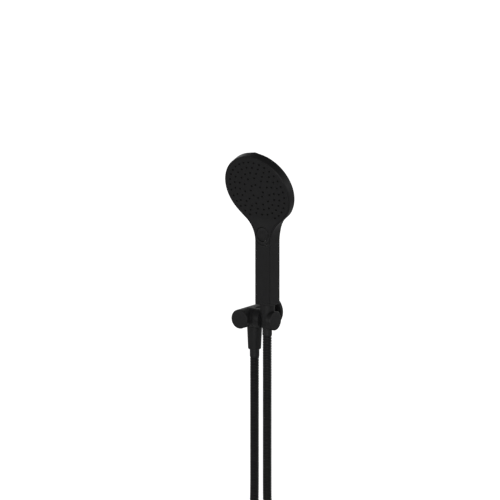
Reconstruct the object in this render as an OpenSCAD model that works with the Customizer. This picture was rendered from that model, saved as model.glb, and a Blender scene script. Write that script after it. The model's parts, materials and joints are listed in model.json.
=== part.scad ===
// Hand shower set: a round-headed handset parked in a holder that is also the wall outlet, with its hose.
// Origin: centre of the wall rose's back face, on the arm's axis. +Z is up, -Y is out of the wall, +X is right.

/* [Spray head] */
// Radius of the round head
head_r = 64.25; // [62:0.25:66]
// Height of the face centre above the arm axis
face_z = 220.8; // [216:0.4:228]
// Forward tilt of the spray face
face_tilt = 18.8; // [17:0.2:20]
// Depth of the straight side wall of the head
head_side = 13.3; // [11:0.1:14.5]
// Height of the domed back above the side wall
head_dome = 14; // [13:0.5:16]

/* [Handle] */
// Half the width of the handle
handle_r = 15.7; // [15.5:0.1:17]
// Depth of the handle's flat side
handle_side = 22.9; // [22.5:0.1:24]
// Height of the handle's lower end
handle_bottom = 26.3; // [26.2:0.1:27]
// Height of the collar at the handle's lower end
collar_h = 3.6; // [3.2:0.1:5]
// Radius of the round spray-mode button
button_r = 11.5; // [10:0.1:11.8]
// Travel of the button
button_travel = 2.5; // [1.5:0.1:2.5]

/* [Wall outlet] */
// Radius of the arm and of the holder barrel
arm_r = 16; // [15.8:0.1:16.5]
// Length of the arm out of the wall
arm_len = 86; // [84:1:92]
// Radius of the wall rose
rose_r = 26.7; // [25:0.1:34]
// Thickness of the wall rose
rose_t = 5.5; // [5:0.5:9]

/* [Hose] */
// Radius of the hose
hose_r = 7.2; // [6.8:0.1:7.3]

/* [Hidden] */
$fn = 96;

gap = 0.05;              // running clearance between pieces that turn or slide in each other
seam = 0.2;              // visible joint line between cover pieces

// Axis of the handset and the holder's seat
axis_x = 39;
axis_y = -61;

// Handset outline, laid flat: a circle that runs through two fillets into the handle
fillet_r = 46;
fillet_x = handle_r + fillet_r;
fillet_v = sqrt(pow(head_r + fillet_r, 2) - pow(fillet_x, 2));
tangent_a = atan2(fillet_v, fillet_x);
head_rows = 30;
fillet_rows = 9;
handle_rows = 4;

// Spine of the handset's front surface, from the tilted face through a bend to the upright handle
bend_v = 46.3;
bend_r = 36;
front_reach = 13;        // the front surface's distance before the handset's axis
front_y = axis_y - front_reach;
face_y = front_y - bend_v * sin(face_tilt);
bend_start = bend_v - bend_r * tan(face_tilt / 2);
bend_len = bend_r * face_tilt * PI / 180;
bend_cy = face_y + bend_start * sin(face_tilt) - bend_r * cos(face_tilt);
bend_cz = face_z - bend_start * cos(face_tilt) - bend_r * sin(face_tilt);
bottom_v = bend_start + bend_len + bend_cz - handle_bottom - collar_h;

// Walls and front skin
wall = 2.4;
rim = 1.4;
RIM_EDGE = [[1.1, 0], [0.35, 0.4], [0, 1.6]];   // rounded edge: insets and depths
skin = 2.4;
ledge = skin + seam;
handle_back = 6;         // height of the handle's back above its flat side
face_bulge = 1.2;
bulge_r = 60;
crown = 1;
tongue_r = 16;
button_z = 145.5;
button_v = bend_start + bend_len + bend_cz - button_z;
tongue_v = button_v + 1.7;
stub_z = 163;            // foot of the water chamber's inlet stub
duct_foot = button_z + 11.5;
plunger_end = -16;       // back end of the button's plunger, from the handset's front

// Spray nozzles: number on the ring, radius of the ring, and phase in steps from the handle's side
NOZZLES = [[8, 12.2, 0], [11, 24.7, 0.5], [18, 34.2, 0.5], [24, 44, 0], [32, 53.6, 0.5]];
neck_gap_a = 17.5;       // the outer ring has no nozzles within this angle of the neck
NOZZLE_SPOTS = [for (n = NOZZLES) for (i = [0 : n[0] - 1])
    let (a = 360 * (i + n[2]) / n[0])
    if (n != NOZZLES[4] || min(a, 360 - a) > neck_gap_a) [n[1] * sin(a), -n[1] * cos(a)]];
tip_proud = 0.7;         // the nozzle tips stand this far out of the face
hole_r = 1.75;
tip_r = 1.65;
mat_t = 1.2;
chamber_t = 8.4;
screw_ring = 18.4;
screw_angles = [0, 120, 240];

// Hose fittings, measured down from the nut's top
nut_r = 12.5;
nut_foot_r = 10.7;
nut_len = 39.3;
thread_r = 10.48;
thread_len = 15.1;
stem_r = 6.94;
ferrule_r = 8;
ferrule_len = 12.6;
washer_t = 2;
tail_flange = 2;
handset_nut_z = handle_bottom - seam;
outlet_y = -43;
outlet_nut_z = -18.2;

// Holder barrel
boss_x = 16.9;
washer_x = 17.5;
cheek_x = 22.1;          // inner face of the barrel's end wall
head_x = 22.8;           // underside of the pivot bolt's head
barrel_end = 53;
cap_x = 56;
liner_r = 12.7;
slot_w = 16;
pivot_r = 4;

// Hose route through round points: down from the outlet, round the low loop and up to the handset
HOSE = [
    [0, -43, -70.4], [0, -43, -110], [0, -43, -160], [0, -43, -210], [0, -43, -260], [0, -43, -310],
    [-4, -41, -355], [-14, -37, -395], [-27, -31, -435], [-38, -25, -475], [-42, -24, -515],
    [-33, -28, -550], [-12, -38, -575], [20, -52, -585], [51, -66, -575], [73, -76, -550],
    [82, -80, -515], [77, -78, -475], [66, -73, -435], [53, -67, -395], [43, -63, -355],
    [39, -61, -310], [39, -61, -260], [39, -61, -210], [39, -61, -160], [39, -61, -110],
    [39, -61, -65], [39, -61, -26.1]
];
hose_steps = 2;          // rings between two points of the route
hose_sides = 10;
hose_side = [0.419, 0.908, 0];   // horizontal direction across the plane that the hose hangs in

function smooth(u) = let (c = min(1, max(0, u))) c * c * (3 - 2 * c);
function mix(a, b, u) = a + (b - a) * u;

// Half-width of the outline at a distance v below the face centre, drawn in by o
function half_width(v, o) =
    v < (head_r - o) * sin(tangent_a) ? sqrt(max(0, pow(head_r - o, 2) - v * v))
    : v < fillet_v ? fillet_x - sqrt(pow(fillet_r + o, 2) - pow(fillet_v - v, 2))
    : handle_r - o;

// Row k of the outline drawn in by o, as [half-width, distance below the face centre]
function outline(k, o) =
    k <= head_rows ?
        let (a = 90 - (90 + tangent_a) * k / head_rows)
        [(head_r - o) * cos(a), -(head_r - o) * sin(a)]
    : k <= head_rows + fillet_rows ?
        let (a = mix(180 - tangent_a, 180, (k - head_rows) / fillet_rows))
        [fillet_x + (fillet_r + o) * cos(a), fillet_v - (fillet_r + o) * sin(a)]
    : [handle_r - o, mix(fillet_v, bottom_v, (k - head_rows - fillet_rows) / handle_rows)];

// Tilt of the front surface at v, and of the way back from it, which straightens further down the neck
function tilt_at(v) = face_tilt * (1 - min(1, max(0, (v - bend_start) / bend_len)));
function lean_at(v) = face_tilt * (1 - smooth((v - 46) / 32));
// The point at x across, v along and t behind the front surface
function place(x, v, t) =
    let (
        a = tilt_at(v),
        b = lean_at(v),
        y = v < bend_start ? face_y + v * sin(face_tilt) : bend_cy + bend_r * cos(a),
        z = v < bend_start ? face_z - v * cos(face_tilt)
            : bend_cz + bend_r * sin(a) - max(0, v - bend_start - bend_len)
    )
    [axis_x + x, y + t * cos(b), z + t * sin(b)];

// Depth of the straight side wall and height of the round back above it
function side_depth(v) = mix(head_side, handle_side, smooth((v - 30) / 58));
function dome_height(v) =
    let (head = head_dome * sqrt(max(0, 1 - pow(v / head_r, 2))))
    max(2.8, v < 0 ? head : mix(head, handle_back, smooth(v / 75)));

// Power that turns the back from a round dome at the head into a flat with round corners at the handle
function squareness(v) = mix(1, 0.5, smooth((v - 30) / 58));
function back_x(a, p) = sign(90 - a) * pow(abs(cos(a)), p);
function back_t(a, p) = pow(sin(a), p);

// How far the front skin stands proud of its edge: a slight dome on the face, a slight crown on the handle
function proud(x, v) =
    face_bulge * max(0, 1 - (x * x + v * v) / pow(bulge_r, 2)) * (1 - smooth((v - 44) / 16))
    + crown * smooth((v - 46) / 30) * (1 - pow(x / half_width(v, 0), 2));

// How far the bend lifts the front surface out of the face's plane, a distance d down that plane
function bend_lift(d) = bend_r - sqrt(pow(bend_r, 2) - pow(max(0, d - bend_start), 2));

// End of the front cover's round tongue, below the button
function tongue_end(x) = tongue_v + sqrt(pow(tongue_r, 2) - x * x);

// Solid between two grids of points, with row 0 folded onto the middle when it comes to a point
module slab(a, b, pointed) {
    rows = len(a);
    cols = len(a[0]);
    function at(s, i, j) = s * rows * cols + i * cols + (pointed && i == 0 ? min(j, cols - 1 - j) : j);
    skins = [for (i = [0 : rows - 2]) for (j = [0 : cols - 2]) each [
        [at(0, i, j), at(0, i, j + 1), at(0, i + 1, j + 1), at(0, i + 1, j)],
        [at(1, i, j), at(1, i + 1, j), at(1, i + 1, j + 1), at(1, i, j + 1)]
    ]];
    sides = [for (i = [0 : rows - 2]) each [
        [at(0, i, 0), at(0, i + 1, 0), at(1, i + 1, 0), at(1, i, 0)],
        [at(0, i, cols - 1), at(1, i, cols - 1), at(1, i + 1, cols - 1), at(0, i + 1, cols - 1)]
    ]];
    top = pointed ? [] : [for (j = [0 : cols - 2])
        [at(0, 0, j), at(1, 0, j), at(1, 0, j + 1), at(0, 0, j + 1)]];
    foot = [for (j = [0 : cols - 2])
        [at(0, rows - 1, j), at(0, rows - 1, j + 1), at(1, rows - 1, j + 1), at(1, rows - 1, j)]];
    quads = concat(skins, sides, top, foot);
    halves = [for (q = quads) each [[q[0], q[1], q[2]], [q[0], q[2], q[3]]]];
    whole = [for (f = halves) if (f[0] != f[1] && f[1] != f[2] && f[2] != f[0]) f];
    polyhedron(points = [for (g = [a, b]) for (row = g) each row], faces = whole);
}

module tube(r, bore, h) {
    difference() {
        cylinder(r = r, h = h);
        translate([0, 0, -1]) cylinder(r = bore, h = h + 2);
    }
}

// Ring of rectangular section, for washers and seals
module ring(r, bore, h) {
    rotate_extrude() translate([bore, 0]) square([r - bore, h]);
}

// Stands a child along the arm, with its local +Z out of the wall
module out_of_wall(y) {
    translate([0, y, 0]) rotate([90, 0, 0]) children();
}

// Lays a child along the holder barrel, with its local +Z along +X
module along_barrel(x) {
    translate([x, axis_y, 0]) rotate([0, 90, 0]) children();
}

// Puts a child on the spray face, with its local +Z out of the face and +Y up the face
module on_face() {
    translate([axis_x, face_y, face_z]) rotate([90 + face_tilt, 0, 0]) children();
}

module on_axis(z) {
    translate([axis_x, axis_y, z]) children();
}

// Button axis, with local +Z out of the handset's front
module on_button() {
    translate([axis_x, front_y, button_z]) rotate([90, 0, 0]) children();
}

// ---------- Wall outlet ----------

module wall_rose() {
    color([0.03, 0.03, 0.03]) out_of_wall(0) rotate_extrude() difference() {
        union() {
            square([rose_r, rose_t - 1]);
            square([rose_r - 1, rose_t]);
            translate([rose_r - 1, rose_t - 1]) circle(r = 1);
        }
        translate([-1, -1]) square([arm_r + gap + 1, rose_t + 2]);
        translate([0, -1]) square([rose_r - 3, 2.5]);
    }
}

module rose_gasket() {
    color([0.1, 0.1, 0.1]) out_of_wall(0) ring(rose_r - 3, arm_r + 1, 1.5);
}

module wall_arm() {
    color([0.03, 0.03, 0.03]) difference() {
        union() {
            out_of_wall(-0.5) cylinder(r = arm_r, h = arm_len - 2.9);
            along_barrel(0) cylinder(r = arm_r, h = boss_x);
            translate([0, outlet_y, outlet_nut_z + seam]) cylinder(r = nut_r, h = 10);
        }
        out_of_wall(1) cylinder(r = 10.2, h = 15);
        out_of_wall(-13) cylinder(r = 7, h = 39);
        out_of_wall(-arm_len + 8) cylinder(r = 11, h = 10);
        translate([0, outlet_y, -20]) cylinder(r = 9.2, h = 20);
        along_barrel(4) cylinder(r = 3, h = 14);
        translate([0, -9.5, -20]) cylinder(r = 2.5, h = 10);
    }
}

module arm_end_cap() {
    color([0.03, 0.03, 0.03]) difference() {
        out_of_wall(-arm_len + 8) rotate_extrude() union() {
            square([10.95, 6]);
            translate([0, 5.65]) square([arm_r, 1.35]);
            translate([0, 6.9]) square([arm_r - 1, 1.1]);
            translate([arm_r - 1, 7]) circle(r = 1);
        }
        out_of_wall(-arm_len + 6.5) ring(12, 9.4, 1.6);
    }
}

module cap_o_ring() {
    color([0.02, 0.02, 0.02]) out_of_wall(-arm_len + 6.5) ring(10.98, 9.4, 1.6);
}

module inlet_nipple() {
    color([0.72, 0.56, 0.28]) difference() {
        union() {
            translate([0, 14, 0]) rotate([90, 0, 0]) cylinder(r = thread_r, h = 14);
            out_of_wall(0) cylinder(r = 10.2, h = 14);
        }
        translate([0, 15, 0]) rotate([90, 0, 0]) cylinder(r = 7, h = 40);
        out_of_wall(-5) ring(12, 9, 1.8);
    }
}

module nipple_o_ring() {
    color([0.02, 0.02, 0.02]) out_of_wall(-5) ring(10.2, 9, 1.8);
}

module grub_screw() {
    color([0.4, 0.4, 0.42]) translate([0, -9.5, 0]) difference() {
        translate([0, 0, -arm_r + 0.6]) cylinder(r = 2.5, h = arm_r - 0.6 - 10.2);
        translate([0, 0, -arm_r]) cylinder(r = 1.45, h = 2.6, $fn = 6);
    }
}

module check_valve() {
    color([0.85, 0.85, 0.8]) translate([0, outlet_y, -13]) {
        tube(7.4, 6.2, 10);
        translate([0, 0, 4]) ring(6.2, 1, 1.2);
        translate([0, 0, 1]) cylinder(r = 1.2, h = 8);
        translate([0, 0, 8]) cylinder(r = 5, h = 1.2);
        translate([0, 0, 8.2]) cube([12.6, 1, 1], center = true);
    }
}

module outlet_nipple() {
    color([0.72, 0.56, 0.28]) translate([0, outlet_y, 0]) difference() {
        union() {
            translate([0, 0, outlet_nut_z + seam - 11]) cylinder(r = thread_r, h = 11);
            translate([0, 0, outlet_nut_z]) cylinder(r = 9.2, h = -2.5 - outlet_nut_z);
        }
        translate([0, 0, -30]) cylinder(r = 6.2, h = 40);
        translate([0, 0, -13]) cylinder(r = 7.4, h = 20);
    }
}

module pivot_bolt() {
    color([0.4, 0.4, 0.42]) difference() {
        union() {
            along_barrel(5) cylinder(r = 3, h = boss_x - 5);
            along_barrel(boss_x) cylinder(r = pivot_r, h = head_x - boss_x);
            along_barrel(head_x) cylinder(r = 6.6, h = 2.4);
        }
        along_barrel(head_x + 1) cylinder(r = 2, h = 3, $fn = 6);
    }
}

module friction_washer() {
    color([0.85, 0.85, 0.8]) along_barrel(boss_x) ring(12.5, pivot_r, washer_x - boss_x);
}

// ---------- Hose fittings, with the nut's top at local z = 0 ----------

foot_edge = 2;
foot_r = nut_r + (foot_edge - nut_len) * (nut_r - nut_foot_r) / nut_len;

module hose_nut() {
    color([0.03, 0.03, 0.03]) rotate_extrude() difference() {
        polygon(concat(
            [[0, 0], [nut_r - 0.5, 0], [nut_r, -0.5]],
            [for (a = [0 : -15 : -90])
                [foot_r - foot_edge + foot_edge * cos(a), foot_edge - nut_len + foot_edge * sin(a)]],
            [[0, -nut_len]]
        ));
        translate([-1, -thread_len]) square([thread_r + gap + 1, 30]);
        translate([-1, -nut_len - 1]) square([stem_r + 0.06 + 1, 30]);
    }
}

module hose_washer() {
    color([0.1, 0.1, 0.1]) translate([0, 0, gap - thread_len + tail_flange + gap])
        ring(9.6, 5.5, washer_t - 2 * gap);
}

module hose_tail() {
    color([0.72, 0.56, 0.28]) rotate_extrude() difference() {
        union() {
            translate([0, gap - thread_len]) square([9.6, tail_flange]);
            translate([0, -nut_len - 0.2]) square([stem_r, nut_len - thread_len + 1]);
            translate([0, -nut_len - ferrule_len - 0.2]) square([5, ferrule_len + 1]);
        }
        translate([-1, -60]) square([4.8, 60]);
    }
}

module hose_ferrule() {
    color([0.03, 0.03, 0.03]) translate([0, 0, -nut_len - ferrule_len - 0.2]) rotate_extrude() difference() {
        union() {
            square([ferrule_r, ferrule_len - 0.6]);
            square([ferrule_r - 0.6, ferrule_len]);
        }
        translate([-1, -1]) square([6, ferrule_len + 2]);
    }
}

module outlet_washer() {
    translate([0, outlet_y, outlet_nut_z]) hose_washer();
}

module outlet_hose_tail() {
    translate([0, outlet_y, outlet_nut_z]) hose_tail();
}

module outlet_hose_nut() {
    translate([0, outlet_y, outlet_nut_z]) hose_nut();
}

module outlet_ferrule() {
    translate([0, outlet_y, outlet_nut_z]) hose_ferrule();
}

module handset_washer() {
    on_axis(handset_nut_z) hose_washer();
}

module handset_hose_tail() {
    on_axis(handset_nut_z) hose_tail();
}

module handset_hose_nut() {
    on_axis(handset_nut_z) hose_nut();
}

module handset_ferrule() {
    on_axis(handset_nut_z) hose_ferrule();
}

// ---------- Hose ----------

// Smooth curve (uniform cubic B-spline) past points i and i + 1 of the route, which starts and ends on it
function hose_point(i, u) =
    let (
        n = len(HOSE) - 1,
        b = HOSE[i],
        c = HOSE[i + 1],
        a = i > 0 ? HOSE[i - 1] : 2 * b - c,
        d = i < n - 1 ? HOSE[i + 2] : 2 * c - b
    )
    (pow(1 - u, 3) * a + (3 * u * u * u - 6 * u * u + 4) * b
        + (3 * u + 3 * u * u - 3 * u * u * u + 1) * c + pow(u, 3) * d) / 6;

module shower_hose() {
    line = concat(
        [for (i = [0 : len(HOSE) - 2]) for (s = [0 : hose_steps - 1]) hose_point(i, s / hose_steps)],
        [HOSE[len(HOSE) - 1]]
    );
    last = len(line) - 1;
    rings = [for (k = [0 : last])
        let (
            ahead = line[min(last, k + 1)] - line[max(0, k - 1)],
            along = (k == 0 || k == last) ? [0, 0, ahead[2]] / abs(ahead[2]) : ahead / norm(ahead),
            across = cross(along, hose_side) / norm(cross(along, hose_side))
        )
        [for (s = [0 : hose_sides - 1])
            let (a = 360 * s / hose_sides)
            line[k] + hose_r * (cos(a) * hose_side + sin(a) * across)]
    ];
    sides = [for (k = [0 : last - 1]) for (s = [0 : hose_sides - 1])
        let (t = (s + 1) % hose_sides, p = k * hose_sides, q = p + hose_sides)
        [p + s, q + s, q + t, p + t]];
    start = [for (s = [0 : hose_sides - 1]) s];
    end = [for (s = [hose_sides - 1 : -1 : 0]) last * hose_sides + s];
    color([0.03, 0.03, 0.03])
        polyhedron(points = [for (r = rings) each r], faces = concat(sides, [start], [end]));
}

// ---------- Holder barrel, which tilts on the pivot bolt ----------

module holder_barrel() {
    color([0.03, 0.03, 0.03]) difference() {
        along_barrel(washer_x + gap) cylinder(r = arm_r, h = barrel_end - washer_x - gap);
        on_axis(-20) cylinder(r = liner_r, h = 40);
        translate([axis_x - slot_w / 2, axis_y - 30, -20]) cube([slot_w, 30, 40]);
        along_barrel(10) cylinder(r = pivot_r + 0.06, h = 20);
        along_barrel(cheek_x) cylinder(r = 7, h = 12);
    }
}

module seat_liner() {
    color([0.06, 0.06, 0.06]) intersection() {
        difference() {
            on_axis(0.3 - arm_r) cylinder(r = liner_r, h = 2 * arm_r - 0.6);
            on_axis(handset_nut_z - nut_len)
                cylinder(r1 = nut_foot_r + gap, r2 = nut_r + gap, h = nut_len);
            on_axis(-20) cylinder(r = nut_foot_r + 0.2, h = 12);
            translate([axis_x - slot_w / 2, axis_y - 30, -20]) cube([slot_w, 30, 40]);
            along_barrel(20) cylinder(r = 7, h = 12);
        }
        along_barrel(20) cylinder(r = arm_r, h = 40);
    }
}

module barrel_end_cap() {
    color([0.03, 0.03, 0.03]) along_barrel(barrel_end) rotate_extrude() union() {
        square([arm_r, 2]);
        square([arm_r - 1, cap_x - barrel_end]);
        translate([arm_r - 1, 2]) circle(r = 1);
    }
}

module spring_washer() {
    color([0.5, 0.5, 0.52]) along_barrel(cheek_x + 0.05) ring(6.6, pivot_r + 0.1, 0.6);
}

// ---------- Handset ----------

module inlet_spigot() {
    color([0.85, 0.85, 0.83]) difference() {
        union() {
            on_axis(handset_nut_z - 11) cylinder(r = thread_r, h = 11);
            on_axis(handset_nut_z - 0.5) cylinder(r = 10, h = 13);
            on_axis(handle_bottom + collar_h) cylinder(r = 10.6, h = 2.4);
        }
        on_axis(0) cylinder(r = 6.2, h = 60);
        on_axis(handset_nut_z + 6) cylinder(r = 7.4, h = 20);
    }
}

module flow_limiter() {
    color([0.2, 0.5, 0.3]) on_axis(handset_nut_z - 9) difference() {
        cylinder(r = 6.15, h = 3.5);
        for (a = [0 : 60 : 300]) rotate(a) translate([3.6, 0, -1]) cylinder(r = 0.9, h = 6);
        translate([0, 0, -1]) cylinder(r = 1.2, h = 3);
    }
}

module water_tube() {
    color([0.85, 0.85, 0.83]) on_axis(handset_nut_z + 6) {
        tube(6, 4.8, button_z - 11.5 - handset_nut_z - 6);
        ring(7.35, 5.9, 1.5);
    }
}

module tube_o_ring() {
    color([0.02, 0.02, 0.02]) on_axis(handset_nut_z + 7.6) ring(7.38, 6.02, 1.6);
}

// Section of the handle: flat front and sides, and a back with round corners, about the handset's axis
module handle_section(o) {
    w = handle_r - o;
    polygon(concat(
        [[-w, 1.6 - front_reach], [0.35 - w, 0.4 - front_reach], [1.1 - w, -front_reach + o]],
        [[w - 1.1, -front_reach + o], [w - 0.35, 0.4 - front_reach], [w, 1.6 - front_reach]],
        [for (a = [0 : 10 : 180])
            [w * back_x(a, 0.5), handle_side - front_reach + (handle_back - o) * back_t(a, 0.5)]]
    ));
}

// Section of the collar's plug, which stands inside the shell
module plug_section() {
    w = handle_r - wall - 0.05;
    polygon(concat(
        [[-w, ledge + 0.5 - front_reach], [w, ledge + 0.5 - front_reach]],
        [for (a = [0 : 10 : 180])
            [w * back_x(a, 0.5), handle_side - front_reach + (handle_back - wall - 0.05) * back_t(a, 0.5)]]
    ));
}

module handle_collar() {
    color([0.03, 0.03, 0.03]) on_axis(handle_bottom) difference() {
        union() {
            linear_extrude(height = collar_h - seam) handle_section(0);
            translate([0, 0, collar_h - 1]) linear_extrude(height = 3) plug_section();
        }
        translate([0, 0, -1]) cylinder(r = 10.05, h = 20);
        translate([0, 0, collar_h]) cylinder(r = 10.65, h = 20);
    }
}

// Points across the back shell at one row, from rim to rim round the back
function shell_outside(k) =
    let (
        p = outline(k, 0), w = p[0], v = p[1], s = side_depth(v), h = dome_height(v), b = squareness(v),
        edge = [for (e = RIM_EDGE) let (q = outline(k, e[0])) [q[0], q[1], e[1]]]
    )
    concat(
        [for (e = edge) place(e[0], e[1], e[2])],
        [place(w, v, s)],
        [for (a = [10 : 10 : 170]) place(w * back_x(a, b), v, s + h * back_t(a, b))],
        [place(-w, v, s)],
        [for (i = [2 : -1 : 0]) place(-edge[i][0], edge[i][1], edge[i][2])]
    );
function shell_inside(k) =
    let (
        q = outline(k, rim), p = outline(k, wall), w = p[0], v = p[1],
        s = side_depth(v), h = dome_height(v) - wall, b = squareness(v)
    )
    concat(
        [place(q[0], q[1], 0), place(q[0], q[1], ledge), place(w, v, ledge), place(w, v, s)],
        [for (a = [10 : 10 : 170]) place(w * back_x(a, b), v, s + h * back_t(a, b))],
        [place(-w, v, s), place(-w, v, ledge), place(-q[0], q[1], ledge), place(-q[0], q[1], 0)]
    );

module back_shell() {
    rows = [0 : head_rows + fillet_rows + handle_rows];
    color([0.03, 0.03, 0.03])
        slab([for (k = rows) shell_outside(k)], [for (k = rows) shell_inside(k)], true);
}

module handle_panel() {
    across = [-1 : 0.2 : 1];
    inset = rim + seam;
    rows = [0 : 0.2 : 1];
    function edge(f) = tongue_end(f * (handle_r - inset)) + 2 * seam;
    function grid(back) = [for (u = rows) [for (f = across)
        let (v = mix(edge(f), bottom_v, u), x = f * half_width(v, inset))
        place(x, v, back ? skin : -proud(x, v))]];
    color([0.03, 0.03, 0.03]) slab(grid(false), grid(true), false);
}

// Places a child at every spray nozzle
module at_nozzles() {
    for (p = NOZZLE_SPOTS) translate([p[0], p[1], 0]) children();
}

module at_screws() {
    for (a = screw_angles) rotate(a) translate([0, screw_ring, 0]) children();
}

module front_cover() {
    across = [-1 : 1 / 6 : 1];
    inset = rim + seam;
    r = head_r - inset;
    face = [for (a = [85 : -7 : -tangent_a]) [for (f = across) [f * r * cos(a), -r * sin(a)]]];
    neck = [for (u = [0.08 : 0.115 : 1]) [for (f = across)
        let (v = mix(r * sin(tangent_a), tongue_end(f * (handle_r - inset)), u))
        [f * half_width(v, inset), v]]];
    rows = concat(face, neck);
    color([0.03, 0.03, 0.03]) difference() {
        union() {
            slab(
                [for (row = rows) [for (p = row) place(p[0], p[1], -proud(p[0], p[1]))]],
                [for (row = rows) [for (p = row) place(p[0], p[1], skin)]],
                false
            );
            on_face() at_screws() translate([0, 0, -chamber_t - skin + 0.05]) cylinder(r = 3, h = chamber_t);
        }
        on_face() at_nozzles() translate([0, 0, -5]) cylinder(r = hole_r, h = 10, $fn = 24);
        on_face() at_screws() translate([0, 0, -20]) cylinder(r = 1.3, h = 17.6, $fn = 24);
        on_button() translate([0, 0, -5]) cylinder(r = button_r + 0.3, h = 10);
    }
}

module nozzle_mat() {
    color([0.05, 0.05, 0.05]) on_face() difference() {
        union() {
            translate([0, 0, -skin - mat_t]) cylinder(r = 57, h = mat_t);
            for (p = NOZZLE_SPOTS) translate([p[0], p[1], -skin - 0.2])
                cylinder(
                    r1 = tip_r, r2 = 1.25, $fn = 24,
                    h = skin + 0.2 + tip_proud + proud(p[0], -p[1]) + bend_lift(-p[1])
                );
        }
        at_screws() translate([0, 0, -10]) cylinder(r = 3.2, h = 20);
        at_nozzles() translate([0, 0, -10]) cylinder(r = 0.5, h = 20, $fn = 16);
    }
}

module water_chamber() {
    floor_z = -skin - chamber_t;
    color([0.8, 0.8, 0.78]) difference() {
        union() {
            on_face() translate([0, 0, floor_z - 2.5]) cylinder(r = 58, h = 2.5 + chamber_t - mat_t);
            on_axis(stub_z) cylinder(r = 5.8, h = 13);
        }
        on_face() translate([0, 0, floor_z]) cylinder(r = 56, h = 20);
        on_face() at_screws() translate([0, 0, floor_z - 5]) cylinder(r = 1.6, h = 10);
        on_axis(stub_z - 1) cylinder(r = 4.85, h = 5.6);
        on_axis(stub_z) cylinder(r = 3.6, h = 11.5);
    }
}

module chamber_screws() {
    floor_z = -skin - chamber_t;
    color([0.6, 0.6, 0.62]) on_face() at_screws() difference() {
        union() {
            translate([0, 0, floor_z - 2.5]) cylinder(r = 1.28, h = 8);
            translate([0, 0, floor_z - 4.5]) cylinder(r = 2.8, h = 2);
        }
        translate([0, 0, floor_z - 5]) cylinder(r = 1.1, h = 1.6, $fn = 6);
    }
}

module chamber_duct() {
    color([0.8, 0.8, 0.78]) on_axis(duct_foot) tube(4.8, 3.4, stub_z + 4.5 - duct_foot);
}

module duct_o_ring() {
    color([0.02, 0.02, 0.02]) on_axis(duct_foot - 0.9) ring(5.4, 3.8, 0.9);
}

module diverter_housing() {
    bay_end = plunger_end - button_travel - 1.5;
    color([0.8, 0.8, 0.78]) difference() {
        union() {
            on_button() translate([0, 0, bay_end - 2]) cylinder(r = 9.5, h = -6 - bay_end + 2);
            on_axis(button_z) cylinder(r = 6.2, h = 10.6);
            on_axis(button_z - 11.4) cylinder(r = 7.2, h = 11);
        }
        on_button() translate([0, 0, bay_end]) cylinder(r = 7.6, h = 30);
        on_axis(button_z) cylinder(r = 3.6, h = 20);
        on_axis(button_z - 20) cylinder(r = 4.8, h = 20);
    }
}

module housing_cap() {
    color([0.3, 0.3, 0.3]) on_button() translate([0, 0, -9]) tube(7.55, 3.1, 3);
}

module mode_button() {
    color([0.035, 0.035, 0.035]) on_button() rotate_extrude() difference() {
        polygon([
            [0, crown], [button_r * 0.5, crown - 0.15], [button_r - 0.8, crown - 0.75],
            [button_r, crown - 1.3], [button_r, -1.9], [button_r - 1.5, -1.9], [button_r - 1.5, -0.6],
            [3, -0.6], [3, -1.9], [0, -1.9]
        ]);
        translate([-1, -3]) square([2.5, 1.1]);
    }
}

module diverter_plunger() {
    color([0.3, 0.3, 0.3]) on_button() difference() {
        union() {
            translate([0, 0, plunger_end]) cylinder(r = 3, h = -1.95 - plunger_end);
            translate([0, 0, plunger_end]) cylinder(r = 5.2, h = 4);
        }
        translate([0, 0, plunger_end + 1]) ring(6, 4, 2);
    }
}

module plunger_seals() {
    color([0.02, 0.02, 0.02]) on_button() translate([0, 0, plunger_end + 1]) ring(7.5, 4.05, 2);
}

// Spring under the button, drawn as stacked open turns
module button_spring() {
    color([0.6, 0.6, 0.62]) on_button() for (z = [-5.9 : 1 : -2.1]) translate([0, 0, z]) {
        rotate_extrude() translate([5.6, 0.3]) circle(r = 0.35, $fn = 16);
        translate([4.9, -0.3, 0.1]) cube([1.2, 0.6, 0.95]);
    }
}

wall_rose();
rose_gasket();
wall_arm();
arm_end_cap();
cap_o_ring();
inlet_nipple();
nipple_o_ring();
grub_screw();
check_valve();
outlet_nipple();
pivot_bolt();
friction_washer();
outlet_washer();
outlet_hose_tail();
outlet_hose_nut();
outlet_ferrule();
shower_hose();
holder_barrel();
seat_liner();
barrel_end_cap();
spring_washer();
handset_hose_tail();
handset_ferrule();
handset_hose_nut();
handset_washer();
flow_limiter();
inlet_spigot();
tube_o_ring();
water_tube();
handle_collar();
back_shell();
handle_panel();
front_cover();
nozzle_mat();
water_chamber();
chamber_screws();
chamber_duct();
duct_o_ring();
diverter_housing();
housing_cap();
mode_button();
diverter_plunger();
plunger_seals();
button_spring();
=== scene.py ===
"""Hand shower set: the visible pieces, their materials and the studio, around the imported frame.

Shapes are worked out in millimetres, in the frame's own axes, and turned into metres as each mesh is made.
"""
import json
import math

import bmesh
import bpy
import numpy as np
from mathutils import Matrix, Vector
from mathutils.geometry import delaunay_2d_cdt


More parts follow.
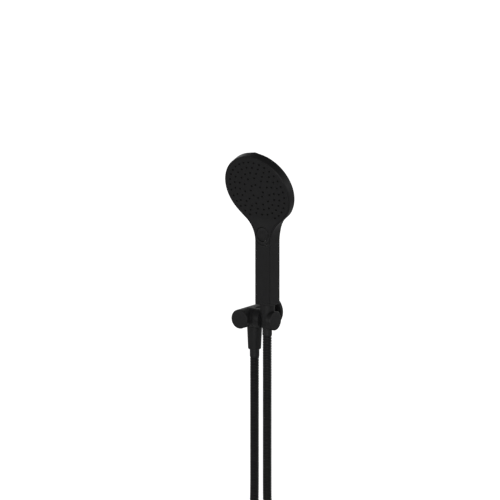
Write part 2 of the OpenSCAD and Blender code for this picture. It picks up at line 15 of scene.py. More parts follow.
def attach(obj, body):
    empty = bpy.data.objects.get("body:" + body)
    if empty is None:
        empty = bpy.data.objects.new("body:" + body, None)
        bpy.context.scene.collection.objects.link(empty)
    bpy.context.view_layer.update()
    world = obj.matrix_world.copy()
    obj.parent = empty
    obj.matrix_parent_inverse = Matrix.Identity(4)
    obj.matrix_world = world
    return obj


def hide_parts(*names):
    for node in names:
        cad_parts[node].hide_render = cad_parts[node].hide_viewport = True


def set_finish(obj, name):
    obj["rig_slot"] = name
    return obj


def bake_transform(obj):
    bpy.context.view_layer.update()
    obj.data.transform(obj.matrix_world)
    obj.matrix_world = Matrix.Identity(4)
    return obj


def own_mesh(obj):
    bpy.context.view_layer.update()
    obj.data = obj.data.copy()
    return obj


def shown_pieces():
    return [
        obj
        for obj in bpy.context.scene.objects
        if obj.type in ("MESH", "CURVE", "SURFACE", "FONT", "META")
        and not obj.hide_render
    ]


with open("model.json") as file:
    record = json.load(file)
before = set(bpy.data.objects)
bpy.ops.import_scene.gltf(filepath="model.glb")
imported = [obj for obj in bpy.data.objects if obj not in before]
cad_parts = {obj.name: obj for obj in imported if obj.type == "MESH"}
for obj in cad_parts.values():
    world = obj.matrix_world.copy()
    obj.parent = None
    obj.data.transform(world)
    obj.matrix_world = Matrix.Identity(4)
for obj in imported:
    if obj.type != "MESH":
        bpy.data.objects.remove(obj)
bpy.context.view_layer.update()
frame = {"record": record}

MM = 0.001
BODY_OF = {n: body for body, names in frame["record"]["behaviour"]["bodies"].items() for n in names}
SLOT_OF = {p["node"]: p["material_slot"] for p in frame["record"]["subparts"]}


# ---------- Camera ----------

AZIMUTH, ELEVATION = math.radians(36.3), math.radians(12.6)
DISTANCE, LENS_MM = 30.0, 1313.6
AIM = Vector((-0.0393, -0.0022, 0.0961))


def make_camera():
    """To the right of the front and a little above, so far off and so long that the view is parallel."""
    back = Vector((
        math.sin(AZIMUTH) * math.cos(ELEVATION),
        -math.cos(AZIMUTH) * math.cos(ELEVATION),
        math.sin(ELEVATION),
    ))
    data = bpy.data.cameras.new("camera")
    data.sensor_width = 36.0
    data.lens = LENS_MM
    data.clip_start, data.clip_end = 1.0, 4 * DISTANCE
    camera = bpy.data.objects.new("camera", data)
    camera.location = AIM + back * DISTANCE
    camera.rotation_euler = (-back).to_track_quat("-Z", "Y").to_euler()
    bpy.context.scene.collection.objects.link(camera)
    bpy.context.scene.camera = camera


make_camera()


# ---------- Mesh helpers ----------

WELD = 2e-7              # points closer than this, in metres, are one
SHARP_DEG = 35.0         # edges sharper than this stay crisp, and the rest are shaded smooth
SKIN_SHARP_DEG = 50.0    # the same for the handset's casing


def make_mesh(name, points, faces, sharp_deg=SHARP_DEG):
    """An object from points in millimetres, smooth except at edges sharper than sharp_deg."""
    mesh = bpy.data.meshes.new(name)
    mesh.from_pydata([tuple(float(c) * MM for c in p) for p in points], [], faces)
    bm = bmesh.new()
    bm.from_mesh(mesh)
    bmesh.ops.remove_doubles(bm, verts=bm.verts, dist=WELD)
    loose = [v for v in bm.verts if not v.link_faces]
    bmesh.ops.delete(bm, geom=loose, context="VERTS")
    bmesh.ops.recalc_face_normals(bm, faces=bm.faces)
    bm.to_mesh(mesh)
    bm.free()
    obj = bpy.data.objects.new(name, mesh)
    bpy.context.scene.collection.objects.link(obj)
    smooth_by_angle(obj, sharp_deg)
    return obj


def smooth_by_angle(obj, degrees):
    obj.data.shade_smooth()
    obj.data.set_sharp_from_angle(angle=math.radians(degrees))


def round_corners(corners, steps=5):
    """A polyline from (r, z, radius) corners, each rounded with an arc of its radius. An arc takes up
    just under half of a side at most."""
    out = []
    for i, (x, y, radius) in enumerate(corners):
        here = Vector((x, y))
        if radius <= 0 or i in (0, len(corners) - 1):
            out.append((x, y))
            continue
        before = Vector(corners[i - 1][:2]) - here
        after = Vector(corners[i + 1][:2]) - here
        half = before.angle(after) / 2
        reach = min(radius / math.tan(half), before.length * 0.49, after.length * 0.49)
        radius = reach * math.tan(half)
        middle = here + (before.normalized() + after.normalized()).normalized() * (radius / math.sin(half))
        start = here + before.normalized() * reach - middle
        turn = start.angle_signed(here + after.normalized() * reach - middle)
        for s in range(steps + 1):
            a = -turn * s / steps
            spun = Vector((
                start.x * math.cos(a) - start.y * math.sin(a),
                start.x * math.sin(a) + start.y * math.cos(a),
            ))
            out.append(tuple(middle + spun))
    return out


def revolve(name, profile, place, closed=False, segments=96):
    """Turns an (r, z) profile about local Z. A closed profile makes a ring; an open one ends on the axis."""
    points, rows = [], []
    for r, z in profile:
        if r < 1e-6:
            rows.append([len(points)] * segments)
            points.append(place @ Vector((0, 0, z)))
            continue
        rows.append(list(range(len(points), len(points) + segments)))
        for s in range(segments):
            a = 2 * math.pi * s / segments
            points.append(place @ Vector((r * math.cos(a), r * math.sin(a), z)))
    faces = []
    pairs = list(zip(rows, rows[1:] + rows[:1])) if closed else list(zip(rows, rows[1:]))
    for low, high in pairs:
        for s in range(segments):
            t = (s + 1) % segments
            ring = [low[s], low[t], high[t], high[s]]
            face = [v for i, v in enumerate(ring) if v != ring[i - 1]]
            if len(face) > 2:
                faces.append(face)
    return make_mesh(name, points, faces)


def tube_faces(rings, sides, first=0):
    """Faces between rings of points that follow each other. first is the number of the first point."""
    faces = []
    for i in range(rings - 1):
        for j in range(sides):
            k = (j + 1) % sides
            a, b = first + i * sides, first + (i + 1) * sides
            faces.append([a + j, a + k, b + k, b + j])
    return faces


def end_faces(rings, sides):
    """The two faces that close a tube."""
    return [list(range(sides))[::-1], [(rings - 1) * sides + k for k in range(sides)]]


def combine(target, tool, operation):
    """Applies a boolean of tool to target, and removes tool."""
    modifier = target.modifiers.new("combine", "BOOLEAN")
    modifier.operation = operation
    modifier.solver = "EXACT"
    modifier.object = tool
    apply_modifiers(target)
    bpy.data.objects.remove(tool)


def apply_modifiers(obj):
    graph = bpy.context.evaluated_depsgraph_get()
    mesh = bpy.data.meshes.new_from_object(obj.evaluated_get(graph))
    obj.modifiers.clear()
    obj.data = mesh


def soften(obj, width_mm):
    """Rounds the edges that are sharper than 30 degrees."""
    modifier = obj.modifiers.new("soften", "BEVEL")
    modifier.width = width_mm * MM
    modifier.segments = 3
    modifier.limit_method = "ANGLE"
    modifier.angle_limit = math.radians(30.0)
    apply_modifiers(obj)
    smooth_by_angle(obj, SHARP_DEG)


def join(target, extra):
    """Adds the mesh of extra to target's, and removes extra."""
    bm = bmesh.new()
    bm.from_mesh(target.data)
    bm.from_mesh(extra.data)
    bm.to_mesh(target.data)
    bm.free()
    bpy.data.objects.remove(extra)


def box_mesh(name, low, high):
    points = [(x, y, z) for x in (low[0], high[0]) for y in (low[1], high[1]) for z in (low[2], high[2])]
    faces = [[0, 1, 3, 2], [4, 6, 7, 5], [0, 4, 5, 1], [2, 3, 7, 6], [0, 2, 6, 4], [1, 5, 7, 3]]
    return make_mesh(name, points, faces)


def stand_in(obj, node):
    """obj takes the place, body and finish of a CAD node."""
    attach(obj, BODY_OF[node])
    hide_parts(node)
    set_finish(obj, SLOT_OF[node])


def smooth_step(u):
    c = min(1.0, max(0.0, u))
    return c * c * (3 - 2 * c)


def mix(a, b, u):
    return a + (b - a) * u


# ---------- Hose ----------

# The hose's radius, and that of its ribs' crests
HOSE_R, CREST_R = 7.2, 7.55
RIB_PITCH, RIB_DEPTH = 4.45, 1.4
HOSE_SIDES, HOSE_STEP = 28, 0.5
# The sleeve at the hose's upper end: the height of its foot, and how far its top goes into the nut
SLEEVE_FOOT, SLEEVE_TUCK = -60.0, 4.0
# Inside the sleeve the hose is drawn in by this factor, so that the two don't meet
DRAWN_IN = 0.985
# Square to the upright plane that the loop hangs in
LOOP_NORMAL = np.array([0.419, 0.908, 0.0])
# The hose's route, in metres, from the outlet round the low loop to the handset
HOSE_ROUTE = [
    (0, -0.043, -0.0704), (0, -0.043, -0.110), (0, -0.043, -0.160), (0, -0.043, -0.210),
    (0, -0.043, -0.260), (0, -0.043, -0.310), (-0.004, -0.041, -0.355), (-0.014, -0.037, -0.395),
    (-0.027, -0.031, -0.435), (-0.038, -0.025, -0.475), (-0.042, -0.024, -0.515),
    (-0.033, -0.028, -0.550), (-0.012, -0.038, -0.575), (0.020, -0.052, -0.585),
    (0.051, -0.066, -0.575), (0.073, -0.076, -0.550), (0.082, -0.080, -0.515),
    (0.077, -0.078, -0.475), (0.066, -0.073, -0.435), (0.053, -0.067, -0.395),
    (0.043, -0.063, -0.355), (0.039, -0.061, -0.310), (0.039, -0.061, -0.260),
    (0.039, -0.061, -0.210), (0.039, -0.061, -0.160), (0.039, -0.061, -0.110),
    (0.039, -0.061, -0.065), (0.039, -0.061, -0.0261),
]


def route_curve(route, steps):
    """Smooth curve (uniform cubic B-spline) along the route, starting and ending on its ends."""
    p = np.array(route, float) / MM
    p = np.vstack([2 * p[0] - p[1], p, 2 * p[-1] - p[-2]])
    line = []
    for i in range(len(p) - 3):
        for u in np.arange(steps) / steps:
            weights = np.array([
                (1 - u) ** 3, 3 * u ** 3 - 6 * u ** 2 + 4, 1 + 3 * u + 3 * u ** 2 - 3 * u ** 3, u ** 3
            ]) / 6
            line.append(weights @ p[i:i + 4])
    line.append(p[-2])
    return np.array(line)


def lengths_along(line):
    """The distance from the line's start to each of its points."""
    return np.concatenate([[0], np.cumsum(np.linalg.norm(np.diff(line, axis=0), axis=1))])


def even_steps(line, step):
    """The same line in equal steps, and the distance along it of each point."""
    lengths = lengths_along(line)
    count = int(round(lengths[-1] / step))
    at = np.linspace(0, lengths[-1], count + 1)
    return np.column_stack([np.interp(at, lengths, line[:, k]) for k in range(3)]), at


def rib_height(phase):
    """Height of the hose's wall in one turn of its wound strip: a flat band, rounded over into a groove."""
    from_middle = abs((phase % 1.0) - 0.5) * 2
    return -RIB_DEPTH * smooth_step((from_middle - 0.38) / 0.6)


def ribbed_tube(name, line, at):
    """A tube along line whose wall is a helix of flat bands, closed at both ends. at is the distance
    along the hose of each of its sections."""
    ahead = np.gradient(line, axis=0)
    ahead /= np.linalg.norm(ahead, axis=1)[:, None]
    points = []
    for middle, forward, distance in zip(line, ahead, at):
        across = np.cross(forward, LOOP_NORMAL)
        across /= np.linalg.norm(across)
        level = np.cross(across, forward)
        for k in range(HOSE_SIDES):
            a = 2 * math.pi * k / HOSE_SIDES
            r = CREST_R + rib_height(distance / RIB_PITCH + k / HOSE_SIDES)
            points.append(middle + r * (math.cos(a) * level + math.sin(a) * across))
    faces = tube_faces(len(line), HOSE_SIDES) + end_faces(len(line), HOSE_SIDES)
    return make_mesh(name, points, faces, sharp_deg=60.0)


def draw_in(tube, line, first):
    """Draws the sections of a ribbed tube in towards its line, from section first to the end."""
    co = np.empty(len(tube.data.vertices) * 3)
    tube.data.vertices.foreach_get("co", co)
    co = co.reshape(-1, 3)
    for i in range(first, len(line)):
        ring = slice(i * HOSE_SIDES, (i + 1) * HOSE_SIDES)
        centre = line[i] * MM
        co[ring] = centre + (co[ring] - centre) * DRAWN_IN
    tube.data.vertices.foreach_set("co", co.ravel())


def make_hose():
    """The hose bends between the wall outlet and the holder. Its last stretch lifts with the handset,
    as a sleeve of the same ribs over the hose's end."""
    line, at = even_steps(route_curve(HOSE_ROUTE, 12), HOSE_STEP)
    foot = next(i for i in range(len(line) // 2, len(line)) if line[i][2] >= SLEEVE_FOOT)
    ahead = line[-1] - line[-2]
    tucked_end = line[-1] + ahead / np.linalg.norm(ahead) * SLEEVE_TUCK
    sleeve_line = np.vstack([line[foot:-1], tucked_end])
    sleeve = ribbed_tube("hose_upper_end", sleeve_line, at[foot] + lengths_along(sleeve_line))
    hose = ribbed_tube("ribbed_hose", line, at)
    draw_in(hose, line, foot - 1)
    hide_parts("shower_hose")
    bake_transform(hose)
    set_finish(hose, SLOT_OF["shower_hose"])
    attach(sleeve, "hose_end")
    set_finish(sleeve, SLOT_OF["shower_hose"])


make_hose()


# ---------- Handset outline and surfaces, in millimetres ----------

# The axis of the handset and of the holder's seat
AXIS_X, AXIS_Y = 39.0, -61.0
HANDLE_BOTTOM, COLLAR_H, COLLAR_BORE_R = 26.3, 3.6, 10.1

# Depth of the straight side wall and height of the back over it, at the head and at the handle
HEAD_SIDE, HEAD_DOME = 13.3, 14.0
HANDLE_SIDE, HANDLE_BACK = 22.9, 6.0
LEAST_DOME = 2.8

# The outline laid flat: a circle that runs through two fillets into the handle
HEAD_R, HANDLE_R, FILLET_R = 64.25, 15.7, 46.0
FILLET_X = HANDLE_R + FILLET_R
FILLET_V = math.sqrt((HEAD_R + FILLET_R) ** 2 - FILLET_X ** 2)
TANGENT = math.atan2(FILLET_V, FILLET_X)

# The front surface, from the tilted face through a bend to the handle, FRONT_REACH before the axis
FACE_Z, FACE_TILT = 220.8, math.radians(18.8)
BEND_V, BEND_R = 46.3, 36.0
FRONT_REACH = 13.0
FRONT_Y = AXIS_Y - FRONT_REACH
FACE_Y = FRONT_Y - BEND_V * math.sin(FACE_TILT)
BEND_START = BEND_V - BEND_R * math.tan(FACE_TILT / 2)
BEND_LEN = BEND_R * FACE_TILT
BEND_CY = FACE_Y + BEND_START * math.sin(FACE_TILT) - BEND_R * math.cos(FACE_TILT)
BEND_CZ = FACE_Z - BEND_START * math.cos(FACE_TILT) - BEND_R * math.sin(FACE_TILT)
BOTTOM_V = BEND_START + BEND_LEN + BEND_CZ - HANDLE_BOTTOM - COLLAR_H

# Where the head's shapes turn into the handle's: the distance down the front surface, and the stretch
SIDE_RAMP, LEAN_RAMP, BULGE_RAMP, CROWN_RAMP, DOME_RAMP = (30, 58), (46, 32), (44, 16), (46, 30), (0, 75)

# The shell's wall, rim and rounded edge, the front skin, and the seam between them
WALL, RIM, EDGE_R, SKIN, SEAM = 2.4, 1.4, 1.6, 2.4, 0.2
LEDGE = SKIN + SEAM
GROOVE = 0.55            # the seams that show round the front skin and the panel
SKIN_INSET = RIM + GROOVE
# Rounded edges of the skins and of the holes in them: insets and depths, from back to front
SKIN_ROUND, HOLE_ROUND = 0.45, 0.3
SKIN_EDGE = [(0.0, SKIN), (0.0, SKIN_ROUND), (0.13, 0.13), (SKIN_ROUND, 0.0)]
HOLE_EDGE = [(0.0, SKIN), (0.0, HOLE_ROUND), (0.09, 0.09), (HOLE_ROUND, 0.0)]
# How far the face bulges, over what radius, and the crown across the handle
FACE_BULGE, BULGE_R, CROWN = 1.2, 60.0, 1.0
BUTTON_Z, BUTTON_R, BUTTON_GAP = 145.5, 11.5, 0.7
BUTTON_V = BEND_START + BEND_LEN + BEND_CZ - BUTTON_Z
# The cover's round tongue below the button: its radius, and its centre
TONGUE_R, TONGUE_V = 16.0, BUTTON_V + 1.7

# Spray nozzles: number on the ring, radius of the ring, and phase in steps from the handle's side
NOZZLES = [(8, 12.2, 0.0), (11, 24.7, 0.5), (18, 34.2, 0.5), (24, 44.0, 0.0), (32, 53.6, 0.5)]
NECK_GAP = 17.5          # the outer ring has no nozzles within this angle of the neck
HOLE_R, TIP_PROUD = 1.75, 0.7
MAT_R, MAT_T = 57.0, 1.2


def ramp(v, start_and_stretch):
    """From 0 to 1 down the front surface."""
    start, stretch = start_and_stretch
    return smooth_step((v - start) / stretch)


def half_width(v, o=0.0):
    """Half the width of the outline, drawn in by o, a distance v down the front surface."""
    if v < (HEAD_R - o) * math.sin(TANGENT):
        return math.sqrt(max(0.0, (HEAD_R - o) ** 2 - v * v))
    if v < FILLET_V:
        return FILLET_X - math.sqrt((FILLET_R + o) ** 2 - (FILLET_V - v) ** 2)
    return HANDLE_R - o


def place(x, v, t):
    """The point x across, v below the face centre along the front surface, and t behind it. The way
    back from the surface straightens further down the neck than the surface itself."""
    a = FACE_TILT * (1 - min(1.0, max(0.0, (v - BEND_START) / BEND_LEN)))
    lean = FACE_TILT * (1 - ramp(v, LEAN_RAMP))
    if v < BEND_START:
        y, z = FACE_Y + v * math.sin(FACE_TILT), FACE_Z - v * math.cos(FACE_TILT)
    else:
        y = BEND_CY + BEND_R * math.cos(a)
        z = BEND_CZ + BEND_R * math.sin(a) - max(0.0, v - BEND_START - BEND_LEN)
    return (AXIS_X + x, y + t * math.cos(lean), z + t * math.sin(lean))


def side_depth(v):
    return mix(HEAD_SIDE, HANDLE_SIDE, ramp(v, SIDE_RAMP))


def dome_height(v):
    head = HEAD_DOME * math.sqrt(max(0.0, 1 - (v / HEAD_R) ** 2))
    return max(LEAST_DOME, mix(head, HANDLE_BACK, ramp(v, DOME_RAMP)))


def half_turn(corner_points, back_points):
    """Angles over the back from side to side, closer together at the corners."""
    corner, other = np.linspace(0, 24, corner_points), np.linspace(156, 180, corner_points)
    return [math.radians(a) for a in (*corner, *np.linspace(24, 156, back_points)[1:-1], *other)]


def back_section(w, v, h, angles):
    """(x, height) over the side wall: a round dome at the head, a flat with round corners at the handle."""
    p = mix(1, 0.5, ramp(v, SIDE_RAMP))
    return [(math.copysign(abs(math.cos(a)) ** p, math.cos(a)) * w, h * math.sin(a) ** p) for a in angles]


def front_edge():
    """The rounded edge between the front and the side wall: insets and depths, from the front back."""
    turn = np.linspace(math.pi / 2, 0, 9)
    return [(EDGE_R * (1 - math.cos(a)) * 0.75, EDGE_R * (1 - math.sin(a))) for a in turn]


def proud(x, v):
    """How far the front skin stands out: a slight dome on the face, a slight crown on the handle."""
    face = FACE_BULGE * max(0.0, 1 - (x * x + v * v) / BULGE_R ** 2) * (1 - ramp(v, BULGE_RAMP))
    return face + CROWN * ramp(v, CROWN_RAMP) * (1 - (x / max(1.0, half_width(v))) ** 2)


def bend_lift(d):
    """How far the bend lifts the front surface out of the face's plane, a distance d down that plane."""
    return BEND_R - math.sqrt(BEND_R ** 2 - max(0.0, d - BEND_START) ** 2)


def along_front(d):
    """The distance along the front surface that lies d down the face's plane."""
    return d if d < BEND_START else BEND_START + BEND_R * math.asin((d - BEND_START) / BEND_R)


def side_rows():
    """Stations down one side of the outline, each a function of the inset: (half-width, v)."""
    rows = []
    for a in np.linspace(math.pi / 2, -TANGENT, 101):
        rows.append(lambda o, a=a: ((HEAD_R - o) * math.cos(a), -(HEAD_R - o) * math.sin(a)))
    for a in np.linspace(math.pi - TANGENT, math.pi, 31)[1:]:
        rows.append(lambda o, a=a: (
            FILLET_X + (FILLET_R + o) * math.cos(a), FILLET_V - (FILLET_R + o) * math.sin(a)
        ))
    return rows


def tongue_edge(x):
    """How far down the front the round tongue of the cover reaches, below the button."""
    return TONGUE_V + math.sqrt(max(0.0, TONGUE_R ** 2 - x * x))


def face_matrix():
    """Puts local +Z out of the spray face and +Y up it, in millimetres."""
    return Matrix.Translation((AXIS_X, FACE_Y, FACE_Z)) @ Matrix.Rotation(math.pi / 2 + FACE_TILT, 4, "X")


def button_matrix():
    """Puts local +Z out of the handle's front at the button, in millimetres."""
    return Matrix.Translation((AXIS_X, FRONT_Y, BUTTON_Z)) @ Matrix.Rotation(math.pi / 2, 4, "X")


def nozzle_spots():
    """(x, d) of every spray nozzle, d down the face's plane."""
    spots = []
    for ring in NOZZLES:
        number, radius, phase = ring
        for i in range(number):
            a = 360.0 * (i + phase) / number
            if ring != NOZZLES[-1] or min(a, 360 - a) >= NECK_GAP:
                spots.append((radius * math.sin(math.radians(a)), radius * math.cos(math.radians(a))))
    return spots


# ---------- Handset casing ----------

def make_back_shell():
    """A tub with a thin rounded rim: straight side walls that turn into a domed back."""
    rows = side_rows()
    for v in np.linspace(FILLET_V, BOTTOM_V, 25)[1:]:
        rows.append(lambda o, v=v: (HANDLE_R - o, v))
    arcs = half_turn(13, 37)[1:-1]
    rim_out = front_edge() + [(0.0, LEDGE + 1)]
    rim_in = [(1.25, 0.0), (1.3, 0.01), (1.37, 0.06), (RIM, 0.15), (RIM, 0.8), (RIM, 1.4), (RIM, 2.0),
              (RIM, 2.4), (RIM, LEDGE), (WALL, LEDGE)]

    def section(row, rim, inset):
        w, v = row(inset)
        s, h = side_depth(v), dome_height(v) - inset
        side = [(row(o), t) for o, t in rim] + [((w, v), 0.6 * s), ((w, v), s)]
        right = [place(x, u, t) for (x, u), t in side]
        left = [place(-x, u, t) for (x, u), t in side[::-1]]
        return right + [place(x, v, s + up) for x, up in back_section(w, v, h, arcs)] + left

    outside = [section(row, rim_out, 0.0) for row in rows]
    inside = [section(row, rim_in, WALL) for row in rows]
    n, m = len(rows), len(outside[0])

    def index(s, i, j):
        """Point j of section i, outside (s = 0) or inside (1). The first section has no width."""
        return (s * n + i) * m + (min(j, m - 1 - j) if i == 0 else j)

    faces = []
    for i in range(n - 1):
        for j in range(m - 1):
            for s in (0, 1):
                faces.append([index(s, i, j), index(s, i, j + 1), index(s, i + 1, j + 1), index(s, i + 1, j)])
        for j in (0, m - 1):
            faces.append([index(0, i, j), index(0, i + 1, j), index(1, i + 1, j), index(1, i, j)])
    for j in range(m - 1):
        faces.append([index(0, n - 1, j), index(0, n - 1, j + 1), index(1, n - 1, j + 1), index(1, n - 1, j)])
    faces = [[v for k, v in enumerate(f) if v != f[k - 1]] for f in faces]
    points = [p for part in (outside, inside) for row in part for p in row]
    shell = make_mesh("handset_shell", points, [f for f in faces if len(f) > 2], SKIN_SHARP_DEG)
    stand_in(shell, "back_shell")


def circle(x, v, r, count):
    """Points round (x, v)."""
    turn = [2 * math.pi * k / count for k in range(count)]
    return [(x + r * math.cos(a), v + r * math.sin(a)) for a in turn]


def is_inside(outline, x, v):
    """Whether a point is within a closed outline: it has an odd number of its edges to one side."""
    hit = False
    for (x0, v0), (x1, v1) in zip(outline, outline[1:] + outline[:1]):
        if (v0 > v) != (v1 > v) and x < x0 + (v - v0) * (x1 - x0) / (v1 - v0):
            hit = not hit
    return hit


def plate(name, loop, holes, inner_points):
    """A skin over the front surface. loop(o) is its closed outline drawn in by o, as (x, v) pairs, and
    holes are (x, v, r). Every edge is rounded over, and the back follows the front."""
    chains = [[[(x, v, t) for x, v in loop(o)] for o, t in SKIN_EDGE]]
    for cx, cv, r in holes:
        count = 72 if r > 5 else 20
        chains.append([[(x, v, t) for x, v in circle(cx, cv, r + o, count)] for o, t in HOLE_EDGE])

    # the front: triangles between the outline, the holes and the points inside
    flat, borders, front_ids = [], [], []
    for chain in chains:
        start, count = len(flat), len(chain[-1])
        flat += [Vector((x, v)) for x, v, t in chain[-1]]
        front_ids.append(list(range(start, start + count)))
        borders += [(start + k, start + (k + 1) % count) for k in range(count)]
    flat += [Vector(p) for p in inner_points]
    verts, _, tris, origin, _, _ = delaunay_2d_cdt(flat, borders, [], 0, 1e-5)
    made_from = {source: k for k, sources in enumerate(origin) for source in sources}
    outline = loop(SKIN_ROUND)
    keep = []
    for tri in tris:
        cx = sum(verts[k].x for k in tri) / 3
        cv = sum(verts[k].y for k in tri) / 3
        in_hole = any((cx - x) ** 2 + (cv - v) ** 2 < (r + HOLE_ROUND - 0.05) ** 2 for x, v, r in holes)
        if not in_hole and is_inside(outline, cx, cv):
            keep.append(list(tri))
    points = [place(p.x, p.y, -proud(p.x, p.y)) for p in verts]
    faces = [t[::-1] for t in keep]

    # the back, and the rounded edges between the two
    back = len(points)
    points += [place(p.x, p.y, SKIN) for p in verts]
    faces += [[back + k for k in t] for t in keep]
    for chain, ids in zip(chains, front_ids):
        count = len(ids)
        last = [made_from[k] for k in ids]
        levels = [[back + k for k in last]]
        for ring in chain[:-1]:
            levels.append(list(range(len(points), len(points) + count)))
            points += [place(x, v, t if t == SKIN else t - proud(x, v)) for x, v, t in ring]
        levels.append(last)
        for low, high in zip(levels, levels[1:]):
            for k in range(count):
                n = (k + 1) % count
                faces.append([low[k], low[n], high[n], high[k]])
    return make_mesh(name, points, faces, SKIN_SHARP_DEG)


def spread_points(low_v, high_v, holes, step, is_on):
    """Points over a skin in rows a step apart, where is_on(x, v), clear of its sides and its holes."""
    clear = 0.9
    spots = []
    row = 0
    v = low_v
    while v < high_v:
        w = half_width(v, SKIN_INSET + SKIN_ROUND)
        count = int(w / step)
        for k in range(-count - 1, count + 1):
            x = (k + 0.5 * (row % 2) + 0.25) * step
            if abs(x) > w - clear or not is_on(x, v):
                continue
            if all((x - cx) ** 2 + (v - cv) ** 2 > (r + clear) ** 2 for cx, cv, r in holes):
                spots.append((x, v))
        v += step * 0.87
        row += 1
    return spots


def make_front_cover():
    """Spray face and neck in one skin, down to a round tongue below the button."""
    sides = []
    for row in side_rows():
        x, v = row(SKIN_INSET)
        if v <= tongue_edge(x):
            sides.append(row)

    def loop(o):
        right = [row(SKIN_INSET + o) for row in sides]
        width = HANDLE_R - SKIN_INSET - o
        corner_v = tongue_edge(width) - o
        if corner_v > right[-1][1]:
            right.append((half_width(corner_v, SKIN_INSET + o), corner_v))
        start = math.asin(width / TONGUE_R)
        arc = [(TONGUE_R * math.sin(a), TONGUE_V + TONGUE_R * math.cos(a) - o)
               for a in np.linspace(start, -start, 41)[1:-1]]
        left = [(-x, v) for x, v in right[::-1]]
        return right + arc + left[:-1]

    holes = [(x, along_front(d), HOLE_R) for x, d in nozzle_spots()]
    holes.append((0.0, BUTTON_V, BUTTON_R + BUTTON_GAP))
    inner = spread_points(-61.0, TONGUE_V + TONGUE_R, holes, 2.6, lambda x, v: v < tongue_edge(x) - 1.3)
    stand_in(plate("front_skin", loop, holes, inner), "front_cover")


def make_handle_panel():
    """The flat front of the handle, from the tongue's edge to the foot."""
    def loop(o):
        width = HANDLE_R - SKIN_INSET - o
        start = math.asin(width / TONGUE_R)
        top = [(TONGUE_R * math.sin(a), TONGUE_V + TONGUE_R * math.cos(a) + GROOVE + o)
               for a in np.linspace(-start, start, 41)]
        right = [(width, v) for v in np.linspace(top[-1][1], BOTTOM_V - o, 41)[1:]]
        foot = [(x, BOTTOM_V - o) for x in np.linspace(width, -width, 13)[1:]]
        left = [(-x, v) for x, v in right[::-1]]
        return top + right + foot + left[1:]

    inner = spread_points(TONGUE_V, BOTTOM_V, [], 2.4, lambda x, v: tongue_edge(x) + 1.5 < v < BOTTOM_V - 1.0)
    stand_in(plate("handle_front_panel", loop, [], inner), "handle_panel")


def handle_outline(o):
    """The handle's section about its axis, drawn in by o: flat front and sides, round corners at the back."""
    w, side_end = HANDLE_R - o, HANDLE_SIDE - FRONT_REACH
    back = [(x, side_end + y) for x, y in back_section(w, BOTTOM_V, HANDLE_BACK - o, half_turn(9, 25))]
    left = [(-w, y) for y in np.linspace(side_end, EDGE_R - FRONT_REACH, 9)[1:-1]]
    left_corner = [(i - w, t + o - FRONT_REACH) for i, t in front_edge()[::-1]]
    front_w = left_corner[-1][0]
    front = [(x, o - FRONT_REACH) for x in np.linspace(front_w, -front_w, 13)[1:-1]]
    right_corner = [(-x, y) for x, y in left_corner[::-1]]
    right = [(-x, y) for x, y in left[::-1]]
    return back + left + left_corner + front + right_corner + right


def make_collar():
    """The handle's end ring, rounded at both edges, with the round hole for the inlet."""
    top = COLLAR_H - SEAM
    levels = [(0.6, 0.0), (0.18, 0.18), (0.0, 0.6), (0.0, top - 0.15), (0.04, top - 0.04), (0.15, top)]
    rings = [[(AXIS_X + x, AXIS_Y + y, HANDLE_BOTTOM + z) for x, y in handle_outline(o)] for o, z in levels]
    # the bore, one point for each point of the outline, and then the first ring again
    angles = [math.atan2(y - AXIS_Y, x - AXIS_X) for x, y, _ in rings[0]]
    for z in (HANDLE_BOTTOM + top, HANDLE_BOTTOM):
        rings.append([(AXIS_X + COLLAR_BORE_R * math.cos(a), AXIS_Y + COLLAR_BORE_R * math.sin(a), z)
                      for a in angles])
    rings.append(rings[0])
    points = [p for ring in rings for p in ring]
    faces = tube_faces(len(rings), len(rings[0]))
    stand_in(make_mesh("handle_end_collar", points, faces, SKIN_SHARP_DEG), "handle_collar")


def make_button():
    """Round push button, slightly crowned, with a finely rounded rim and a shallow thumb dish."""
    rim_round, inner_r, hub_r, web, foot = 0.7, BUTTON_R - 1.5, 3.0, -0.6, -1.9
    dish = [(r, CROWN - 0.35 * math.exp(-(r / 5.0) ** 2) - 0.55 * (r / BUTTON_R) ** 3)
            for r in np.linspace(0, BUTTON_R - rim_round, 22)]
    rim_z = dish[-1][1] - rim_round
    rim = [(BUTTON_R - rim_round + rim_round * math.sin(a), rim_z + rim_round * math.cos(a))
           for a in np.linspace(0, math.pi / 2, 8)[1:]]
    under = [(BUTTON_R, foot), (inner_r, foot), (inner_r, web), (hub_r, web), (hub_r, foot), (0.0, foot)]
    stand_in(revolve("round_mode_button", dish + rim + under, button_matrix()), "mode_button")


def make_spring():
    """The button's return spring, a round wire coil."""
    coil_r, wire_r, turns = 5.6, 0.35, 4.5
    low, high = -5.9, -1.8
    steps, sides = 160, 12
    out = button_matrix()
    points = []
    for i in range(steps + 1):
        u = i / steps
        a = 2 * math.pi * turns * u
        # the end turns lie nearly flat
        middle_z = mix(low, high, smooth_step(u * 1.1 - 0.05))
        for k in range(sides):
            b = 2 * math.pi * k / sides
            r = coil_r + wire_r * math.cos(b)
            points.append(out @ Vector((r * math.cos(a), r * math.sin(a), middle_z + wire_r * math.sin(b))))
    faces = tube_faces(steps + 1, sides) + end_faces(steps + 1, sides)
    spring = make_mesh("return_spring", points, faces)
    stand_in(spring, "button_spring")
    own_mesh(spring)


